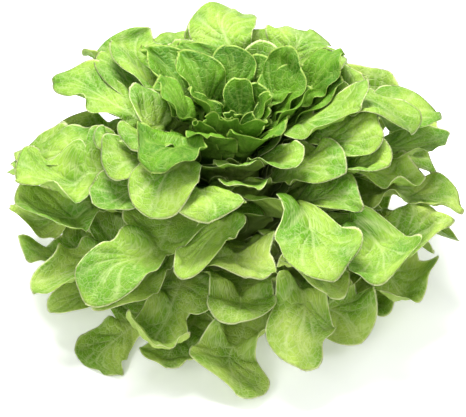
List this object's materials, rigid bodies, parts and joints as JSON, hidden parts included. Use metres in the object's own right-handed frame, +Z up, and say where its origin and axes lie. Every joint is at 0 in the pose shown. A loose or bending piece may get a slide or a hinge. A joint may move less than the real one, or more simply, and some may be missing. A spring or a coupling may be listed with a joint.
{
  "type": "green oak-leaf lettuce head",
  "caption": "Loose head of green oak-leaf lettuce, cut at the butt: broad lobed leaves with pale midribs, nested in a spiral round a short stem, to stand on its cut face.",
  "frame": {"origin": "centre of the stem's cut face, on the surface that the head stands on", "axes": "+Z up along the stem, -Y towards the side where the leaves droop to the surface, +Y towards the side where they stand highest, +X to the right of a viewer on the -Y side"},
  "size_m": [0.2624, 0.2418, 0.1467],
  "materials": {
    "stem": "moist pale green-white flesh, slightly brown on the cut face",
    "outer_leaf": "fresh green leaf, satin, fine pale veins and pale edge",
    "middle_leaf": "bright green leaf, satin, fine pale veins and pale edge",
    "heart_leaf": "young leaf, satin, a deeper green than the leaves round it"
  },
  "bodies": {
    "root": {"stem": "stem", "outer_leaf_01": "outer_leaf", "outer_leaf_02": "outer_leaf", "outer_leaf_03": "outer_leaf", "outer_leaf_04": "outer_leaf", "outer_leaf_05": "outer_leaf", "outer_leaf_06": "outer_leaf", "outer_leaf_07": "outer_leaf", "outer_leaf_08": "outer_leaf", "outer_leaf_09": "outer_leaf", "outer_leaf_10": "outer_leaf", "outer_leaf_11": "outer_leaf", "outer_leaf_12": "outer_leaf", "outer_leaf_13": "outer_leaf", "outer_leaf_14": "outer_leaf", "outer_leaf_15": "outer_leaf", "outer_leaf_16": "outer_leaf", "outer_leaf_17": "outer_leaf", "outer_leaf_18": "outer_leaf", "outer_leaf_19": "outer_leaf", "outer_leaf_20": "outer_leaf", "middle_leaf_01": "middle_leaf", "middle_leaf_02": "middle_leaf", "middle_leaf_03": "middle_leaf", "middle_leaf_04": "middle_leaf", "middle_leaf_05": "middle_leaf", "middle_leaf_06": "middle_leaf", "middle_leaf_07": "middle_leaf", "middle_leaf_08": "middle_leaf", "middle_leaf_09": "middle_leaf", "middle_leaf_10": "middle_leaf", "middle_leaf_11": "middle_leaf", "middle_leaf_12": "middle_leaf", "middle_leaf_13": "middle_leaf", "middle_leaf_14": "middle_leaf", "middle_leaf_15": "middle_leaf", "middle_leaf_16": "middle_leaf", "middle_leaf_17": "middle_leaf", "middle_leaf_18": "middle_leaf", "middle_leaf_19": "middle_leaf", "middle_leaf_20": "middle_leaf", "middle_leaf_21": "middle_leaf", "middle_leaf_22": "middle_leaf", "heart_leaf_01": "heart_leaf", "heart_leaf_02": "heart_leaf", "heart_leaf_03": "heart_leaf", "heart_leaf_04": "heart_leaf", "heart_leaf_05": "heart_leaf", "heart_leaf_06": "heart_leaf", "heart_leaf_07": "heart_leaf", "heart_leaf_08": "heart_leaf", "heart_leaf_09": "heart_leaf", "heart_leaf_10": "heart_leaf", "heart_leaf_11": "heart_leaf", "heart_leaf_12": "heart_leaf", "heart_leaf_13": "heart_leaf", "heart_leaf_14": "heart_leaf", "heart_leaf_15": "heart_leaf", "heart_leaf_16": "heart_leaf", "heart_leaf_17": "heart_leaf"}
  },
  "joints": []
}
